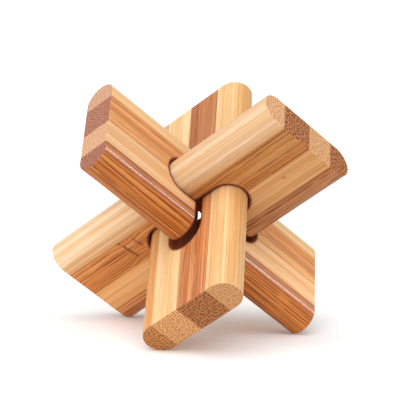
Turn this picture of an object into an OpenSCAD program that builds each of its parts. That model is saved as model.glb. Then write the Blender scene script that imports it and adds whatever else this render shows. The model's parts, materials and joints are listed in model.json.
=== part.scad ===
// Three-bar interlocking puzzle of laminated bamboo, in millimetres.
// Three flat bars stand at right angles. Each bar has a window that the next bar
// passes through, in a ring. Two bars also have a gap beside the window, which stays
// inside a neighbour's window until the key bar is slid, and lets the puzzle open.
// The puzzle stands on the lower end of each bar. The upright axis through the
// middle is +Z, and the origin is where that axis meets the surface it stands on.

/* [Bars] */
// Length of each bar
bar_length = 45; // [42:0.5:60]
// Width of each bar, across its four strips
bar_width = 18; // [17.5:0.1:18.5]
// Thickness of each bar, which is also the diameter of its rounded long edges
bar_thickness = 5.4; // [5.2:0.05:5.6]

/* [Windows] */
// How much wider each window is than the thickness of the bar that it holds
side_clearance = 0.8; // [0.7:0.05:1.2]
// How far each bar has settled towards its lower end
settle = 0.6; // [0:0.05:0.6]
// Room left in each window above the bar that it holds
upper_room = 0.2; // [0.15:0.05:0.4]
// Room left in the key bar's window below the bar that it holds
key_lower_room = 0.6; // [0.4:0.05:1.4]
// Room left in the slotted bar's window below the bar that it holds
slotted_lower_room = 0.4; // [0.4:0.05:1.4]
// Room left in the plain bar's window below the bar that it holds
plain_lower_room = 1.2; // [0.4:0.05:1.4]

/* [Strips] */
// Glue lines of the key bar, across its width from the centre
key_glue_lines = [-5.3, -0.7, 4.9];
// Glue lines of the slotted bar
slotted_glue_lines = [-5.0, -0.4, 4.9];
// Glue lines of the plain bar
plain_glue_lines = [-5.7, -0.6, 5.1];
// Colour of the natural bamboo strips
light_bamboo = "#EBBF87"; // ["#EBBF87", "#E2B27A"]
// Colour of the heat-darkened bamboo strips
dark_bamboo = "#B9713F"; // ["#B9713F", "#A8652F"]

/* [Hidden] */
$fn = 64;

edge_radius = bar_thickness / 2;
window_width = bar_thickness + side_clearance;
gap_clearance = 0.25;
key_gap_length = (bar_width - window_width) / 2 + 2 * gap_clearance;
slotted_gap_length = bar_thickness + 2 * gap_clearance;
cut_margin = 1;

// A bar's own frame: X runs to its lower end, Y across the strips, Z through the bar.
// Three turns bring it into place: on edge, down to its lower end, and round the ring.
roll = 45;
slope = atan(1 / sqrt(2));
plain_turn = -90;
key_turn = 30;
slotted_turn = 150;

// Height of the bars' common centre when the three lowest rims touch the surface.
rim_reach = bar_width / 2 - edge_radius + edge_radius * sqrt(2);
centre_height = (bar_length / 2 + settle + rim_reach) * sin(slope);

// Puts a bar, built about its own centre, into its place in the ring.
module place(turn) {
    translate([0, 0, centre_height])
        rotate([0, 0, turn])
            rotate([0, slope, 0])
                rotate([roll, 0, 0])
                    translate([settle, 0, 0])
                        children();
}

// The whole bar before it is cut: a flat board with fully rounded long edges.
module blank() {
    rotate([90, 0, 90])
        translate([0, 0, -bar_length / 2])
            linear_extrude(bar_length) {
                square([bar_width - 2 * edge_radius, bar_thickness], center = true);
                for (side = [-1, 1])
                    translate([side * (bar_width / 2 - edge_radius), 0])
                        circle(r = edge_radius);
            }
}

// The window, a slot with round ends, cut right through the thickness. It reaches a
// little past both long edges of the bar that it holds.
module window(lower_room) {
    depth = bar_thickness + 2 * cut_margin;
    upper = -bar_width / 2 - settle - upper_room + window_width / 2;
    lower = bar_width / 2 - settle + lower_room - window_width / 2;
    translate([0, 0, -depth / 2])
        linear_extrude(depth) {
            translate([upper, -window_width / 2])
                square([lower - upper, window_width]);
            for (x = [upper, lower])
                translate([x, 0])
                    circle(d = window_width);
        }
}

// The hidden gap, cut from the middle of the window out through the dark edge. It lies
// at the ring's centre once the bar has settled.
module gap(length) {
    depth = bar_thickness + 2 * cut_margin;
    reach = bar_width / 2 + cut_margin;
    translate([-settle - length / 2, -reach, -depth / 2])
        cube([length, reach, depth]);
}

// The stretch of a bar's width between two glue lines, over the length from x0 to x1.
module strip_space(y0, y1, x0, x1) {
    depth = bar_thickness + 2 * cut_margin;
    translate([x0, y0, -depth / 2])
        cube([x1 - x0, y1 - y0, depth]);
}

// Strip number i of a bar, counted from the dark edge.
// part is 0 for the whole length, 1 for the lower and -1 for the upper length.
// gap_length is 0 for a bar without a gap.
module strip(glue_lines, lower_room, gap_length, i, part) {
    outer = bar_width / 2 + cut_margin;
    far = bar_length / 2 + cut_margin;
    y0 = i == 0 ? -outer : glue_lines[i - 1];
    y1 = i == 3 ? outer : glue_lines[i];
    color(i % 2 == 0 ? dark_bamboo : light_bamboo)
        difference() {
            intersection() {
                blank();
                strip_space(y0, y1, part > 0 ? 0 : -far, part < 0 ? 0 : far);
            }
            window(lower_room);
            if (gap_length > 0 && i < 2) gap(gap_length);
        }
}

module key_strip(i, part = 0) {
    place(key_turn) strip(key_glue_lines, key_lower_room, key_gap_length, i, part);
}
module slotted_strip(i, part = 0) {
    place(slotted_turn)
        strip(slotted_glue_lines, slotted_lower_room, slotted_gap_length, i, part);
}
module plain_strip(i) {
    place(plain_turn) strip(plain_glue_lines, plain_lower_room, 0, i, 0);
}

module key_light_edge() { key_strip(3); }
module key_dark_inner() { key_strip(2); }
module key_light_inner_upper() { key_strip(1, -1); }
module key_light_inner_lower() { key_strip(1, 1); }
module key_dark_edge_upper() { key_strip(0, -1); }
module key_dark_edge_lower() { key_strip(0, 1); }

module slotted_light_edge() { slotted_strip(3); }
module slotted_dark_inner() { slotted_strip(2); }
module slotted_light_inner_upper() { slotted_strip(1, -1); }
module slotted_light_inner_lower() { slotted_strip(1, 1); }
module slotted_dark_edge_upper() { slotted_strip(0, -1); }
module slotted_dark_edge_lower() { slotted_strip(0, 1); }

module plain_light_edge() { plain_strip(3); }
module plain_dark_inner() { plain_strip(2); }
module plain_light_inner() { plain_strip(1); }
module plain_dark_edge() { plain_strip(0); }

key_light_edge();
key_dark_inner();
key_light_inner_upper();
key_light_inner_lower();
key_dark_edge_upper();
key_dark_edge_lower();
slotted_light_edge();
slotted_dark_inner();
slotted_light_inner_upper();
slotted_light_inner_lower();
slotted_dark_edge_upper();
slotted_dark_edge_lower();
plain_light_edge();
plain_dark_inner();
plain_light_inner();
plain_dark_edge();
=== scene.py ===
"""Looks for the three-bar puzzle of laminated bamboo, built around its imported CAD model.

Each glued strip of bamboo is one piece. Its shape is the CAD strip with its sawn rims
softened, and its bamboo is a solid texture laid out in the bar's own frame, so grain
lines on a face meet the fibre dots on the end of the same strip.
"""

import json
import math

import bmesh
import bpy
from mathutils import Matrix, Vector


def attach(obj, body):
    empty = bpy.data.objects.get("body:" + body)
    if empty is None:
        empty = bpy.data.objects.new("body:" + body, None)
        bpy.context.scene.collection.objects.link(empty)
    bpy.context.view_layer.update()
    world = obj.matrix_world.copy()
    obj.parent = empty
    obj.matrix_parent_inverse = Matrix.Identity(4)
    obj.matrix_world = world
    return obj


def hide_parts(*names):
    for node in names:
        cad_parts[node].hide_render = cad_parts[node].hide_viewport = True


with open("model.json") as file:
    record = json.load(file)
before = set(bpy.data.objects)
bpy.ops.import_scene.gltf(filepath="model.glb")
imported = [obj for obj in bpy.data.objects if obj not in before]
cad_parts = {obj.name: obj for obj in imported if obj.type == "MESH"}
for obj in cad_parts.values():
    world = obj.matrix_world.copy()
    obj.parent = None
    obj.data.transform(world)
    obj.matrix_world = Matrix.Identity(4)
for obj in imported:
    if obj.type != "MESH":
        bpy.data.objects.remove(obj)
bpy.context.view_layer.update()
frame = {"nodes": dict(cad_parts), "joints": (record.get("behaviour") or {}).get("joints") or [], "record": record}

MM = 0.001


# ---------------------------------------------------------------- the bars' frames

# Vertices further than this from a bar's ends belong to its cut-outs, in millimetres.
END_MARGIN = 1.0

# A strip's side is a seam where it is further than this inside the bar's own edge, in
# millimetres.
SEAM_INSIDE = 0.1


def joint_axis(name):
    """The direction of a joint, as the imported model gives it."""
    return Vector(next(j["axis"] for j in frame["joints"] if j["name"] == name)).normalized()


def nodes_of(body):
    """The CAD nodes of one bar."""
    return frame["record"]["behaviour"]["bodies"][body]


def vertices_of(nodes):
    """Every vertex of these CAD nodes, in metres."""
    return [v.co for n in nodes for v in frame["nodes"][n].data.vertices]


class Bar:
    """One bar, with its own frame: x to its lower end, y from its dark edge to its light
    edge, z through it. Its coordinates are in millimetres from its centre."""

    def __init__(self, body, x_axis, y_axis, z_axis):
        self.body = body
        self.axes = (x_axis, y_axis, z_axis)
        points = vertices_of(nodes_of(body))
        spans = [[p.dot(axis) for p in points] for axis in self.axes]
        halves = [(max(s) - min(s)) / 2 / MM for s in spans]
        self.half_length, self.half_width, self.half_thickness = halves
        middles = [(min(s) + max(s)) / 2 for s in spans]
        self.centre = sum((m * axis for m, axis in zip(middles, self.axes)), Vector())
        turn = Matrix(self.axes).to_4x4()
        self.to_bar = Matrix.Scale(1 / MM, 4) @ turn @ Matrix.Translation(-self.centre)
        self.from_bar = self.to_bar.inverted()
        self.window = self.cut_span(nodes_of(body))
        edge_nodes = [n for n in nodes_of(body) if "dark_edge" in n]
        self.gap = self.cut_span(edge_nodes) if len(edge_nodes) == 2 else None

    def cut_span(self, nodes):
        """Where along the bar the cut-out in these nodes starts and ends."""
        along = [(self.to_bar @ point).x for point in vertices_of(nodes)]
        inner = [x for x in along if abs(x) < self.half_length - END_MARGIN]
        return min(inner), max(inner)

    def strip_span(self, nodes):
        """Where the strip made of these nodes starts and ends across the bar."""
        across = [(self.to_bar @ point).y for point in vertices_of(nodes)]
        return min(across), max(across)

    def seams(self, span):
        """The sides of a strip that are glued to a neighbour."""
        return [y for y in span if self.half_width - abs(y) > SEAM_INSIDE]


up_key = joint_axis("key_bar_slide")
down_plain = joint_axis("plain_bar_slide")
across_both = up_key.cross(down_plain)

BARS = {
    "key": Bar("key_bar", -up_key, -down_plain, across_both),
    "slotted": Bar("slotted_bar", -across_both, up_key, -down_plain),
    "plain": Bar("plain_bar", down_plain, across_both, up_key),
}


# ---------------------------------------------------------------- shapes

# How far the sawn rims are rounded, in millimetres, and in how many steps.
RIM_ROUNDING = 0.16
RIM_STEPS = 3

# Angles between two faces, in degrees. Below the first they are one flat face, above the
# second they meet at a sawn rim, and above the third their shading breaks.
FLAT_ANGLE = 1
RIM_ANGLE = 40
SHARP_ANGLE = 38

# Distances below which two vertices are one, and a vertex lies in a seam, in millimetres.
SAME_VERTEX = 0.0005
SAME_LINE = 0.001


def is_glued(edge, seams):
    """Whether an edge lies in a seam, where the strip meets its neighbour."""
    return any(all(abs(v.co.y - y) < SAME_LINE for v in edge.verts) for y in seams)


def strip_mesh(name, node, bar):
    """The CAD strip with its flat faces merged and its sawn rims rounded."""
    seams = bar.seams(bar.strip_span([node]))
    work = bmesh.new()
    work.from_mesh(frame["nodes"][node].data)
    work.transform(bar.to_bar)
    bmesh.ops.remove_doubles(work, verts=work.verts, dist=SAME_VERTEX)
    bmesh.ops.dissolve_limit(
        work, angle_limit=math.radians(FLAT_ANGLE), verts=work.verts, edges=work.edges
    )
    rims = [
        e
        for e in work.edges
        if e.is_manifold
        and e.calc_face_angle() > math.radians(RIM_ANGLE)
        and not is_glued(e, seams)
    ]
    bmesh.ops.bevel(
        work,
        geom=rims,
        offset=RIM_ROUNDING,
        offset_type="OFFSET",
        segments=RIM_STEPS,
        profile=0.5,
        affect="EDGES",
        clamp_overlap=True,
    )
    bmesh.ops.recalc_face_normals(work, faces=work.faces)
    work.transform(bar.from_bar)
    mesh = bpy.data.meshes.new(name)
    work.to_mesh(mesh)
    work.free()
    mesh.shade_smooth()
    mesh.set_sharp_from_angle(angle=math.radians(SHARP_ANGLE))
    return mesh


def build_strip(node, bar, material):
    """One strip of a bar as a piece that stands for its CAD node."""
    name = "bamboo_" + node
    piece = bpy.data.objects.new(name, strip_mesh(name, node, bar))
    bpy.context.collection.objects.link(piece)
    piece.data.materials.append(material)
    normals = piece.modifiers.new("even_normals", "WEIGHTED_NORMAL")
    normals.keep_sharp = True
    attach(piece, bar.body)
    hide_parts(node)
    return piece


# ---------------------------------------------------------------- shader building

# The Mix node's sockets for colours, among those it has for other kinds of value.
MIX_A = 6
MIX_B = 7
MIX_RESULT = 2

NOISE_DETAIL = 3.0
NOISE_ROUGHNESS = 0.55


class Shader:
    """Short calls that add nodes to one material and wire them up. A source is the output
    of a node, or a plain value."""

    def __init__(self, name):
        self.material = bpy.data.materials.new(name)
        self.material.use_nodes = True
        self.tree = self.material.node_tree
        self.tree.nodes.clear()

    def add(self, kind, **settings):
        """A new node with these settings."""
        node = self.tree.nodes.new(kind)
        for key, value in settings.items():
            setattr(node, key, value)
        return node

    def wire(self, source, socket):
        """Connects a source to a socket, or sets the socket where the source is a value."""
        if isinstance(source, bpy.types.NodeSocket):
            self.tree.links.new(source, socket)
        else:
            socket.default_value = source

    def complete(self, surface):
        """Makes this surface the material's own, and returns the material."""
        output = self.add("ShaderNodeOutputMaterial")
        self.wire(surface.outputs["BSDF"], output.inputs["Surface"])
        return self.material

    def math(self, operation, a, b=0.0):
        node = self.add("ShaderNodeMath", operation=operation)
        self.wire(a, node.inputs[0])
        self.wire(b, node.inputs[1])
        return node.outputs[0]

    def plus(self, a, b):
        return self.math("ADD", a, b)

    def minus(self, a, b):
        return self.math("SUBTRACT", a, b)

    def times(self, first, *others):
        """All of these multiplied together."""
        result = first
        for other in others:
            result = self.math("MULTIPLY", result, other)
        return result

    def larger(self, a, b):
        return self.math("MAXIMUM", a, b)

    def smaller(self, a, b):
        return self.math("MINIMUM", a, b)

    def absolute(self, value):
        return self.math("ABSOLUTE", value)

    def distance(self, value, place):
        """How far a value is from a place, on either side of it."""
        return self.absolute(self.minus(value, place))

    def inverse(self, share):
        """The rest of the whole that a share leaves."""
        return self.minus(1.0, share)

    def vector(self, operation, a, b):
        node = self.add("ShaderNodeVectorMath", operation=operation)
        self.wire(a, node.inputs[0])
        self.wire(b, node.inputs[1])
        scalar = operation in ("DOT_PRODUCT", "LENGTH")
        return node.outputs["Value" if scalar else "Vector"]

    def combine(self, x, y, z):
        """A vector made of three sources."""
        node = self.add("ShaderNodeCombineXYZ")
        for source, socket in zip((x, y, z), node.inputs):
            self.wire(source, socket)
        return node.outputs[0]

    def step(self, value, low, high):
        """Rises smoothly from 0 where value is low to 1 where it is high. Where low is the
        larger of the two, it falls instead as the value grows."""
        node = self.add("ShaderNodeMapRange", interpolation_type="SMOOTHSTEP")
        self.wire(value, node.inputs["Value"])
        node.inputs["From Min"].default_value = low
        node.inputs["From Max"].default_value = high
        return node.outputs["Result"]

    def hump(self, value, centre, width):
        """Rises smoothly to 1 at centre and falls to 0 one width either side of it."""
        return self.inverse(self.step(self.distance(value, centre), 0.0, width))

    def noise(self, where, detail=NOISE_DETAIL):
        """Noise with features about one unit wide."""
        node = self.add("ShaderNodeTexNoise")
        self.wire(where, node.inputs["Vector"])
        node.inputs["Scale"].default_value = 1.0
        node.inputs["Detail"].default_value = detail
        node.inputs["Roughness"].default_value = NOISE_ROUGHNESS
        return node.outputs["Fac"]

    def bundles(self, across, randomness):
        """Distance from the nearest fibre bundle, with about one bundle to a unit square."""
        node = self.add("ShaderNodeTexVoronoi", feature="F1", voronoi_dimensions="2D")
        self.wire(across, node.inputs["Vector"])
        node.inputs["Scale"].default_value = 1.0
        node.inputs["Randomness"].default_value = randomness
        return node.outputs["Distance"]

    def blend(self, share, a, b, kind="MIX"):
        """The first colour where the share is 0, and the second where it is 1."""
        node = self.add("ShaderNodeMix", data_type="RGBA", blend_type=kind)
        self.wire(share, node.inputs["Factor"])
        self.wire(a, node.inputs[MIX_A])
        self.wire(b, node.inputs[MIX_B])
        return node.outputs[MIX_RESULT]

    def tint(self, a, b):
        """One colour multiplied by another."""
        return self.blend(1.0, a, b, "MULTIPLY")


def colour(red, green, blue):
    """A linear colour with full alpha."""
    return (red, green, blue, 1.0)


def grey(level):
    """A linear grey with full alpha."""
    return colour(level, level, level)


# ---------------------------------------------------------------- kinds of bamboo


class Bamboo:
    """One kind of bamboo: its colours, the spacing of its fibre bundles in millimetres,
    the strength of its lines, hairs and streaks, and the weight of its varnish."""

    def __init__(
        self, pale, deep, fibre, end_flesh, end_dot, cell, lines, hairs, streaks, varnish
    ):
        self.pale = pale
        self.deep = deep
        self.fibre = fibre
        self.end_flesh = end_flesh
        self.end_dot = end_dot
        self.cell = cell
        self.lines = lines
        self.hairs = hairs
        self.streaks = streaks
        self.varnish = varnish


NATURAL = Bamboo(
    pale=colour(0.780, 0.500, 0.245),
    deep=colour(0.680, 0.375, 0.145),
    fibre=colour(0.430, 0.165, 0.040),
    end_flesh=colour(0.720, 0.390, 0.190),
    end_dot=colour(0.340, 0.140, 0.055),
    cell=0.36,
    lines=0.34,
    hairs=0.30,
    streaks=0.24,
    varnish=0.06,
)
DARKENED = Bamboo(
    pale=colour(0.640, 0.250, 0.076),
    deep=colour(0.540, 0.170, 0.040),
    fibre=colour(0.220, 0.042, 0.008),
    end_flesh=colour(0.520, 0.230, 0.100),
    end_dot=colour(0.160, 0.050, 0.018),
    cell=0.50,
    lines=0.50,
    hairs=0.28,
    streaks=0.34,
    varnish=0.14,
)
WHITE = grey(1.0)
SCAR = colour(0.150, 0.035, 0.008)
GLUE = colour(0.260, 0.085, 0.028)
CHAR_DARK = colour(0.310, 0.073, 0.030)
CHAR_BROWN = colour(0.450, 0.135, 0.052)
# The darkest rim colour is partly scorch and partly painted shade of the gap around a passing bar.
RIM_CHAR_AND_SHADE = colour(0.130, 0.026, 0.007)


class Look:
    """How one strip departs from its kind: the tint of its faces and of its sawn ends,
    which is partly its own tone and partly painted light and shade for how they are lit,
    how strong its broad streaks, its fine lines and its end dots are, how much paler it is
    at its lower end than at its upper end, which is painted light, and the tint of its flats
    beside its rounding, which is painted light and shade."""

    def __init__(self, face, end, streaks=0.8, lines=1.0, dots=1.0, painted_light_below=1.0, flat=None):
        self.face = colour(*face)
        self.end = colour(*end)
        self.streaks = streaks
        self.lines = lines
        self.dots = dots
        self.painted_light_below = painted_light_below
        self.flat = colour(*flat) if flat else None


# The strips of each bar, from its dark edge to its light edge.
STRIP_NAMES = ("dark_edge", "light_inner", "dark_inner", "light_edge")
# Each strip's face and end tints mix its own tone with painted light and shade for how its faces and ends are lit.
# The paleness towards the lower end and the tint of the flats are painted light and shade.
LOOKS = {
    "key": (
        Look(
            face=(0.91, 0.89, 0.66), end=(0.63, 0.70, 1.26),
            streaks=0.45, lines=2.0, dots=0.6, painted_light_below=1.12,
        ),
        Look(
            face=(1.06, 1.04, 1.14), end=(0.85, 0.89, 1.19),
            lines=0.8, dots=0.7, painted_light_below=1.25,
        ),
        Look(
            face=(1.28, 1.68, 2.15), end=(0.68, 0.77, 1.38),
            lines=1.3, dots=0.6, painted_light_below=1.16,
        ),
        Look(
            face=(1.08, 1.14, 1.28), end=(0.77, 0.81, 1.16),
            lines=0.7, dots=0.7,
        ),
    ),
    "slotted": (
        Look(
            face=(0.84, 0.93, 1.18), end=(0.78, 0.77, 0.80),
            lines=1.6, dots=1.3, painted_light_below=1.50,
        ),
        Look(
            face=(0.86, 0.74, 0.64), end=(0.93, 0.94, 1.00),
            painted_light_below=1.36,
        ),
        Look(
            face=(0.94, 1.11, 1.12), end=(0.79, 0.81, 0.91),
            streaks=0.4, lines=1.5, dots=1.3, painted_light_below=1.46,
        ),
        Look(
            face=(0.97, 1.14, 1.60), end=(0.99, 1.03, 1.24),
            lines=0.7, painted_light_below=1.14, flat=(0.88, 0.75, 0.60),
        ),
    ),
    "plain": (
        Look(
            face=(1.19, 1.66, 2.20), end=(0.84, 0.94, 0.88),
            streaks=0.6, lines=0.7, dots=0.7,
        ),
        Look(
            face=(1.04, 1.16, 1.34), end=(0.89, 0.85, 0.80),
            lines=0.9, dots=1.1,
        ),
        Look(
            face=(0.88, 0.98, 1.26), end=(0.66, 0.66, 0.64),
            lines=1.2, dots=0.85, painted_light_below=1.22,
        ),
        Look(
            face=(0.96, 0.96, 0.97), end=(0.74, 0.68, 0.67),
            streaks=0.9, lines=1.1, dots=0.8, flat=(1.02, 1.10, 1.22),
        ),
    ),
}
MARKS = {("slotted", "dark_inner"): "node", ("slotted", "light_inner"): "speck"}

# Every strip has its own seed: its bar's, and one more step for each strip before it.
SEEDS = {"key": 11.0, "slotted": 37.0, "plain": 59.0}
SEED_STEP = 5.3


# ---------------------------------------------------------------- marks

# A growth node of the cane crosses the slotted bar's dark inner strip near its lower
# end. It runs from the first y to the second, softens at both, and has a small round
# head at the second. All places and widths are in the bar's own millimetres.
NODE_X = 11.9
NODE_Y = (0.5, 4.6)
NODE_SOFT_ENDS = (0.6, 0.4)
NODE_HEAD_WIDTH = 0.40

# Its line leans along the bar as it crosses it, is ragged, and fades in from its head.
NODE_LEAN = -0.12
NODE_RAGGED = 1.1
NODE_LINE_WIDTH = 0.36
NODE_LINE_FADE = (4.6, 3.4)

# A broken, shorter line echoes it further up the bar.
ECHO_AWAY = 2.2
ECHO_WIDTH = 0.40
ECHO_BREAKS = (0.4, 0.5)
ECHO_MIDDLE = 2.9
ECHO_HALF_LENGTH = 2.0

# Fibres bend beside it, more so the further they are from its middle, and stand out
# below it. Each pair is a place and the width on either side of it.
BEND_X = (NODE_X - ECHO_AWAY / 2, 4.0)
BEND_STRENGTH = 0.35
FAN_X = (15.5, 5.5)
FAN_Y = (1.8, 2.2)
FAN_STRENGTH = 0.6

# A small brown speck near the upper end of the slotted bar's light inner strip.
SPECK_X = (-16.0, 0.55)
SPECK_Y = (-2.0, 0.40)
SPECK_STRENGTH = 0.8

# Marks show on the bar's side towards the viewer: not at all at z 0, and fully from here.
FRONT_FULL = -1.0


def on_front(shader, z):
    """The share of a mark that shows: none on the far face, and all on the near one."""
    return shader.step(z, 0.0, FRONT_FULL)


def bend_at_node(shader, x, y):
    """How far fibres are pushed sideways where they pass the growth node."""
    sideways = shader.times(shader.minus(y, sum(NODE_Y) / 2), BEND_STRENGTH)
    return shader.times(shader.hump(x, *BEND_X), sideways)


def node_fan(shader, x, y):
    """Where fibre lines stand out beside the growth node."""
    return shader.times(shader.hump(x, *FAN_X), shader.hump(y, *FAN_Y), FAN_STRENGTH)


def node_mark(shader, place, fine):
    """The dark line across the grain at the growth node, with its echo and its head."""
    x, y, z = place
    lean = shader.times(shader.minus(y, NODE_Y[1]), NODE_LEAN)
    ragged = shader.times(shader.minus(fine, 0.5), NODE_RAGGED)
    along = shader.plus(shader.plus(x, lean), ragged)
    line = shader.times(
        shader.hump(along, NODE_X, NODE_LINE_WIDTH),
        shader.step(y, *NODE_LINE_FADE),
    )
    echo = shader.times(
        shader.hump(along, NODE_X - ECHO_AWAY, ECHO_WIDTH),
        shader.step(fine, *ECHO_BREAKS),
        shader.hump(y, ECHO_MIDDLE, ECHO_HALF_LENGTH),
    )
    within = shader.times(
        shader.step(y, NODE_Y[0], NODE_Y[0] + NODE_SOFT_ENDS[0]),
        shader.step(y, NODE_Y[1], NODE_Y[1] - NODE_SOFT_ENDS[1]),
    )
    lines = shader.times(shader.larger(line, echo), within)
    head = shader.times(
        shader.hump(x, NODE_X, NODE_HEAD_WIDTH),
        shader.hump(y, NODE_Y[1], NODE_HEAD_WIDTH),
    )
    return shader.times(shader.larger(lines, head), on_front(shader, z))


def speck_mark(shader, place):
    """The small round speck."""
    x, y, z = place
    spot = shader.times(shader.hump(x, *SPECK_X), shader.hump(y, *SPECK_Y))
    return shader.times(spot, on_front(shader, z), SPECK_STRENGTH)


# ---------------------------------------------------------------- grain


class Layer:
    """One layer of grain noise: what it adds to the strip's seed, how many times longer
    than wide its features are, how wide they are in millimetres, and their detail."""

    def __init__(self, shift, stretch, width, detail):
        self.shift = shift
        self.stretch = stretch
        self.width = width
        self.detail = detail


DRIFT = Layer(shift=0, stretch=12.0, width=2.40, detail=1.0)
BROAD = Layer(shift=3, stretch=60.0, width=1.30, detail=2.0)
MIDDLING = Layer(shift=5, stretch=140.0, width=0.50, detail=2.0)
FINE = Layer(shift=7, stretch=120.0, width=0.19, detail=2.0)
BREAKS = Layer(shift=9, stretch=9.0, width=0.40, detail=1.0)
THREADS = Layer(shift=11, stretch=300.0, width=0.42, detail=2.0)

# A seed moves the noise by itself along the bar, and by these many times itself across
# and through it.
SEED_ACROSS = 1.7
SEED_THROUGH = 0.6

# How far fibres can wander from straight, in millimetres from one extreme to the other.
WANDER = 0.5

# A thread is drawn where its noise is this near its middle value.
THREAD_REACH = 0.06

# The places of the fibre bundles, from 0 for an even grid to 1 for fully random, and how
# far from its middle a bundle's line on a face fades, in bundle spacings.
BUNDLE_RANDOMNESS = 0.55
BUNDLE_FADE = (0.08, 0.26)


def bar_coordinates(shader, bar):
    """The bar's own x, y and z in millimetres, from the piece's object coordinates."""
    here = shader.add("ShaderNodeTexCoord").outputs["Object"]
    from_centre = shader.vector("SUBTRACT", here, tuple(bar.centre))
    return [shader.vector("DOT_PRODUCT", from_centre, tuple(a / MM)) for a in bar.axes]


def grain_noise(shader, place, seed, layer):
    """One layer of noise, stretched along the bar."""
    x, y, z = place
    start = seed + layer.shift
    along = shader.plus(shader.times(x, 1 / (layer.width * layer.stretch)), start)
    across = shader.plus(shader.times(y, 1 / layer.width), start * SEED_ACROSS)
    through = shader.plus(shader.times(z, 1 / layer.width), start * SEED_THROUGH)
    return shader.noise(shader.combine(along, across, through), layer.detail)


def along_fibres(shader, place, seed, mark):
    """The place, measured from fibres that wander from straight and pass any node."""
    x, y, z = place
    drift = grain_noise(shader, place, seed, DRIFT)
    drift = shader.times(shader.minus(drift, 0.5), WANDER)
    y_grain = shader.plus(y, drift)
    z_grain = shader.plus(z, drift)
    if mark == "node":
        y_grain = shader.plus(y_grain, bend_at_node(shader, x, y))
    return x, y_grain, z_grain


class Grain:
    """The grain of one strip: its noises, the distance from its nearest fibre bundle in
    bundle spacings, and the lines that threads and bundles draw along its faces."""

    def __init__(self, shader, place, seed, cell, mark):
        place = along_fibres(shader, place, seed, mark)
        self.broad = grain_noise(shader, place, seed, BROAD)
        self.middling = grain_noise(shader, place, seed, MIDDLING)
        self.fine = grain_noise(shader, place, seed, FINE)
        self.breaks = grain_noise(shader, place, seed, BREAKS)
        threads = grain_noise(shader, place, seed, THREADS)
        section = [shader.plus(shader.times(side, 1 / cell), seed) for side in place[1:]]
        self.from_bundle = shader.bundles(shader.combine(*section, 0.0), BUNDLE_RANDOMNESS)
        thread = shader.hump(threads, 0.5, THREAD_REACH)
        bundle = shader.inverse(shader.step(self.from_bundle, *BUNDLE_FADE))
        self.line = shader.larger(thread, bundle)


# ---------------------------------------------------------------- colour of a strip

# Values of each noise at which its effect starts and at which it is full.
TONE_RANGE = (0.35, 0.65)
STREAK_RANGE = (0.46, 0.66)
HAIR_RANGE = (0.49, 0.61)
LINE_RANGE = (0.30, 0.52)
GLUE_RANGE = (0.30, 0.62)
CHAR_RANGE = (0.46, 0.62)

# The pores of a sawn end to a millimetre, how far they make its dots ragged, and the
# distance from a bundle over which its dot fades, in bundle spacings.
PORES = 2.6
PORE_RAGGED = 0.30
DOT_FADE = (0.34, 0.60)

# The sawn end's colour starts and is complete at these distances from the very end of
# the bar, in millimetres.
END_STARTS = 0.12
END_COMPLETE = 0.02

# Where along a bar the painted light turns a strip from its darker upper tone to its paler lower tone, in
# millimetres.
PAINTED_LIGHT_TURN = (-10.0, 10.0)

# How far onto the rounded edge the painted light and shade on a strip's flats fades, in millimetres.
FLAT_FADE = 0.3

# Glue starts to fade and is gone at these distances from a seam, in millimetres.
GLUE_FADE = (0.02, 0.10)
GLUE_STRENGTH = 0.75


def face_colour(shader, place, grain, kind, look, mark):
    """Tone that drifts slowly across a face, with darker fibres that run along it."""
    body = shader.blend(shader.step(grain.broad, *TONE_RANGE), kind.deep, kind.pale)
    streaks = shader.step(grain.middling, *STREAK_RANGE)
    streaks = shader.times(streaks, kind.streaks * look.streaks)
    body = shader.blend(streaks, body, kind.fibre)
    hairs = shader.times(shader.step(grain.fine, *HAIR_RANGE), kind.hairs * look.lines)
    body = shader.blend(hairs, body, kind.fibre)
    unbroken = shader.step(grain.breaks, *LINE_RANGE)
    lines = shader.times(grain.line, unbroken, kind.lines * look.lines)
    if mark == "node":
        fan = node_fan(shader, place[0], place[1])
        lines = shader.plus(lines, shader.times(fan, grain.line))
    body = shader.blend(lines, body, kind.fibre)
    if mark == "node":
        body = shader.blend(node_mark(shader, place, grain.fine), body, SCAR)
    if mark == "speck":
        body = shader.blend(speck_mark(shader, place), body, kind.fibre)
    return body


def tinted(shader, place, bar, look, body):
    """The face colour with its strip's own tint, which carries painted light and shade, made paler towards the
    bar's lower end as painted light, and with painted light and shade on its flats.
    """
    x, y, _ = place
    # The strip's tint: its own tone with painted light and shade for how its face is lit.
    body = shader.tint(body, look.face)
    # Painted light: paler towards the bar's lower end, where more light falls, and darker towards its upper end.
    turn = shader.step(x, *PAINTED_LIGHT_TURN)
    painted_light_ramp = shader.blend(turn, grey(look.painted_light_below**-0.5), grey(look.painted_light_below**0.5))
    body = shader.tint(body, painted_light_ramp)
    # Painted light and shade: the flats beside the rounding get their own tint for how differently they are lit.
    if look.flat:
        reach = bar.half_width - bar.half_thickness
        rounding = shader.step(shader.absolute(y), reach, reach + FLAT_FADE)
        body = shader.tint(body, shader.blend(rounding, look.flat, WHITE))
    return body


def end_colour(shader, place, grain, kind, look):
    """The sawn end, where each fibre bundle shows as a dot."""
    section = [shader.times(side, PORES) for side in place[1:]]
    pores = shader.noise(shader.combine(0.0, *section))
    ragged = shader.plus(grain.from_bundle, shader.times(pores, PORE_RAGGED))
    dots = shader.inverse(shader.step(ragged, *DOT_FADE))
    flesh = shader.blend(shader.step(pores, *TONE_RANGE), kind.end_flesh, kind.deep)
    body = shader.blend(shader.times(dots, look.dots), flesh, kind.end_dot)
    return shader.tint(body, look.end)


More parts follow.
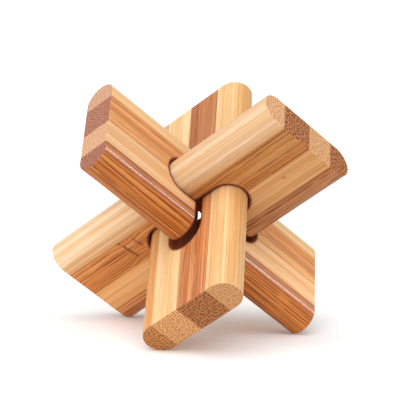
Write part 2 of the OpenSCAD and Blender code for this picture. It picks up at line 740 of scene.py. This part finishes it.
def glue_share(shader, y, bar, span, broad):
    """Glue shows as a thin, broken dark line between strips."""
    to_seam = [shader.distance(y, seam) for seam in bar.seams(span)]
    nearest = shader.smaller(to_seam[0], to_seam[-1])
    glue = shader.inverse(shader.step(nearest, *GLUE_FADE))
    return shader.times(glue, shader.step(broad, *GLUE_RANGE), GLUE_STRENGTH)


# ---------------------------------------------------------------- scorched cuts, with painted shade at their rims

# Half the width of every window, in millimetres.
WINDOW_HALF_WIDTH = 3.1

# Distances outside a cut over which its darkest rim, its char and its singed tint fade,
# in millimetres, and the strength of that tint. The darkest rim and the width of the
# char are partly scorch and partly painted shade of the narrow gaps where one bar passes
# through another.
RIM_FADE = (0.01, 0.08)
CHAR_AND_SHADE_FADE = (0.18, 0.48)
SINGED_FADE = (0.30, 0.80)
SINGED_STRENGTH = 0.45


def window_distance(shader, x, y, window):
    """How far a point lies outside the round-ended window, in millimetres."""
    straight = (window[1] - window[0]) / 2 - WINDOW_HALF_WIDTH
    from_middle = shader.distance(x, sum(window) / 2)
    past_straight = shader.larger(shader.minus(from_middle, straight), 0.0)
    reach = shader.vector("LENGTH", shader.combine(past_straight, y, 0.0), (0.0, 0.0, 0.0))
    return shader.minus(reach, WINDOW_HALF_WIDTH)


def gap_distance(shader, x, y, gap):
    """How far a point lies outside the hidden gap, which opens to the dark edge."""
    beside = shader.minus(shader.distance(x, sum(gap) / 2), (gap[1] - gap[0]) / 2)
    return shader.larger(beside, y)


def scorched_and_shaded(shader, place, bar, fine, body):
    """The colour with the cutter's scorch on the walls and rims of the window and the gap,
    with painted shade of the gaps between bars darkening and widening the rims, and the
    share of the surface that the scorch and this painted shade cover."""
    x, y, _ = place
    outside = window_distance(shader, x, y, bar.window)
    if bar.gap:
        outside = shader.smaller(outside, gap_distance(shader, x, y, bar.gap))
    char_and_gap_shade = shader.inverse(shader.step(outside, *CHAR_AND_SHADE_FADE))
    singed = shader.inverse(shader.step(outside, *SINGED_FADE))
    body = shader.blend(shader.times(singed, SINGED_STRENGTH), body, CHAR_BROWN)
    char_and_rim_shade = shader.blend(shader.step(fine, *CHAR_RANGE), CHAR_DARK, CHAR_BROWN)
    # Painted shade: the rim darkens where the gaps between bars are in shade, over the cutter's scorch.
    char_and_rim_shade = shader.blend(shader.step(outside, *RIM_FADE), char_and_rim_shade, RIM_CHAR_AND_SHADE)
    return shader.blend(char_and_gap_shade, body, char_and_rim_shade), char_and_gap_shade


# ---------------------------------------------------------------- surface of a strip

# Strength and depth of the fibres' relief, and how far lines sink in it.
RELIEF_STRENGTH = 0.30
RELIEF_DEPTH = 0.04 * MM
LINE_DEPTH = 0.3

# Roughness of the wood, what its fibres add to that, what a sawn end or char adds to it,
# and the roughness of the coat of varnish over it.
WOOD_ROUGHNESS = 0.34
FIBRE_ROUGHNESS = 0.20
BARE_ROUGHNESS = 0.20
VARNISH_ROUGHNESS = 0.12
SPECULAR_LEVEL = 0.13


def fibre_relief(shader, grain):
    """Normals that follow the relief of the fibres."""
    bump = shader.add("ShaderNodeBump")
    bump.inputs["Strength"].default_value = RELIEF_STRENGTH
    bump.inputs["Distance"].default_value = RELIEF_DEPTH
    height = shader.minus(grain.fine, shader.times(grain.line, LINE_DEPTH))
    shader.wire(height, bump.inputs["Height"])
    return bump.outputs["Normal"]


def bamboo_material(name, bar, kind, span, seed, look, mark):
    """Varnished bamboo for one strip that spans the given width across its bar."""
    shader = Shader(name)
    place = bar_coordinates(shader, bar)
    x, y, _ = place
    grain = Grain(shader, place, seed, kind.cell, mark)

    body = face_colour(shader, place, grain, kind, look, mark)
    body = tinted(shader, place, bar, look, body)
    end_starts = bar.half_length - END_STARTS
    end_complete = bar.half_length - END_COMPLETE
    end_face = shader.step(shader.absolute(x), end_starts, end_complete)
    body = shader.blend(end_face, body, end_colour(shader, place, grain, kind, look))
    body = shader.blend(glue_share(shader, y, bar, span, grain.broad), body, GLUE)
    body, char_and_gap_shade = scorched_and_shaded(shader, place, bar, grain.fine, body)

    # Sawn ends, scorched walls and rims, and the painted gap shade at those rims are rougher, and have no varnish.
    roughness = shader.plus(shader.times(grain.fine, FIBRE_ROUGHNESS), WOOD_ROUGHNESS)
    roughness = shader.plus(roughness, shader.times(end_face, BARE_ROUGHNESS))
    roughness = shader.plus(roughness, shader.times(char_and_gap_shade, BARE_ROUGHNESS))
    varnish = shader.times(shader.inverse(char_and_gap_shade), kind.varnish, shader.inverse(end_face))

    surface = shader.add("ShaderNodeBsdfPrincipled")
    shader.wire(body, surface.inputs["Base Color"])
    shader.wire(roughness, surface.inputs["Roughness"])
    shader.wire(varnish, surface.inputs["Coat Weight"])
    shader.wire(fibre_relief(shader, grain), surface.inputs["Normal"])
    surface.inputs["Specular IOR Level"].default_value = SPECULAR_LEVEL
    surface.inputs["Coat Roughness"].default_value = VARNISH_ROUGHNESS
    return shader.complete(surface)


# ---------------------------------------------------------------- the puzzle


def build_bar(prefix, bar):
    """All the strips of one bar. A strip that the gap cuts in two keeps one material."""
    pieces = []
    for number, strip in enumerate(STRIP_NAMES):
        nodes = [n for n in nodes_of(bar.body) if n.startswith(f"{prefix}_{strip}")]
        material = bamboo_material(
            f"{prefix}_{strip}_bamboo",
            bar,
            DARKENED if strip.startswith("dark") else NATURAL,
            bar.strip_span(nodes),
            seed=SEEDS[prefix] + SEED_STEP * number,
            look=LOOKS[prefix][number],
            mark=MARKS.get((prefix, strip)),
        )
        pieces += [build_strip(node, bar, material) for node in nodes]
    return pieces


puzzle = [piece for prefix, bar in BARS.items() for piece in build_bar(prefix, bar)]


# ---------------------------------------------------------------- studio

# The middle of the three bars' centres, from which the camera is placed.
CROSSING = sum((bar.centre for bar in BARS.values()), Vector()) / len(BARS)

# The camera's angles are in degrees, its lens in millimetres, and the rest in metres.
CAMERA_AZIMUTH = 1.11
CAMERA_ELEVATION = 7.32
CAMERA_ROLL = 2.41
CAMERA_LENS = 187.6
CAMERA_DISTANCE = 0.3279
CAMERA_SIDESTEP = (0.00124, 0.00043)

FLOOR_HALF_WIDTH = 6.0
FLOOR_TONE = 0.92
SKY_STRENGTH = 0.72


def add_camera():
    """A long-lens camera, low in front of the puzzle and turned slightly about its view."""
    azimuth, elevation, roll = map(
        math.radians, (CAMERA_AZIMUTH, CAMERA_ELEVATION, CAMERA_ROLL)
    )
    toward = Vector((
        math.sin(azimuth) * math.cos(elevation),
        -math.cos(azimuth) * math.cos(elevation),
        math.sin(elevation),
    ))
    level = Vector((math.cos(azimuth), math.sin(azimuth), 0.0))
    upright = toward.cross(level)
    right = level * math.cos(roll) + upright * math.sin(roll)
    up = toward.cross(right)
    place = CROSSING + toward * CAMERA_DISTANCE
    place += right * CAMERA_SIDESTEP[0] + up * CAMERA_SIDESTEP[1]
    camera = bpy.data.objects.new("camera", bpy.data.cameras.new("camera"))
    camera.data.lens = CAMERA_LENS
    camera.data.sensor_width = 36.0
    camera.data.clip_start = 0.01
    camera.matrix_world = Matrix.LocRotScale(
        place, Matrix((right, up, toward)).transposed(), None
    )
    bpy.context.collection.objects.link(camera)
    bpy.context.scene.camera = camera


def add_sun(name, toward, spread, strength):
    """An even white light from one side of the studio, spread over an angle in degrees."""
    data = bpy.data.lights.new(name, "SUN")
    data.angle = math.radians(spread)
    data.energy = strength
    light = bpy.data.objects.new(name, data)
    light.rotation_mode = "QUATERNION"
    light.rotation_quaternion = Vector(toward).to_track_quat("Z", "Y")
    bpy.context.collection.objects.link(light)
    return light


def add_glint(pieces):
    """A narrow light that draws a highlight along the varnish of the given pieces."""
    light = add_sun("glint", (0.834, 0.326, 0.446), spread=12.0, strength=1.4)
    catchers = bpy.data.collections.new("glint_catchers")
    for piece in pieces:
        catchers.objects.link(piece)
    light.light_linking.receiver_collection = catchers
    light.light_linking.blocker_collection = catchers
    light.visible_diffuse = False


def add_floor():
    """A plain pale floor, wide enough to reach the horizon."""
    half = FLOOR_HALF_WIDTH
    mesh = bpy.data.meshes.new("floor")
    corners = [(-half, -half, 0.0), (half, -half, 0.0), (half, half, 0.0), (-half, half, 0.0)]
    mesh.from_pydata(corners, [], [(0, 1, 2, 3)])
    floor = bpy.data.objects.new("floor", mesh)
    bpy.context.collection.objects.link(floor)
    shader = Shader("pale_floor")
    surface = shader.add("ShaderNodeBsdfDiffuse")
    surface.inputs["Color"].default_value = grey(FLOOR_TONE)
    mesh.materials.append(shader.complete(surface))


def add_sky():
    """An even white surround that fills the shadows."""
    world = bpy.data.worlds.new("studio")
    world.use_nodes = True
    background = world.node_tree.nodes["Background"]
    background.inputs["Color"].default_value = WHITE
    background.inputs["Strength"].default_value = SKY_STRENGTH
    bpy.context.scene.world = world


bpy.context.scene.view_settings.view_transform = "Standard"
add_camera()
add_floor()
add_sky()
add_sun("key_light", (-0.18, -0.62, 0.76), spread=80.0, strength=2.6)
add_sun("low_fill", (-0.35, -0.93, 0.08), spread=25.0, strength=0.5)
add_glint([piece for piece in puzzle if piece.name.startswith("bamboo_key_dark_edge")])
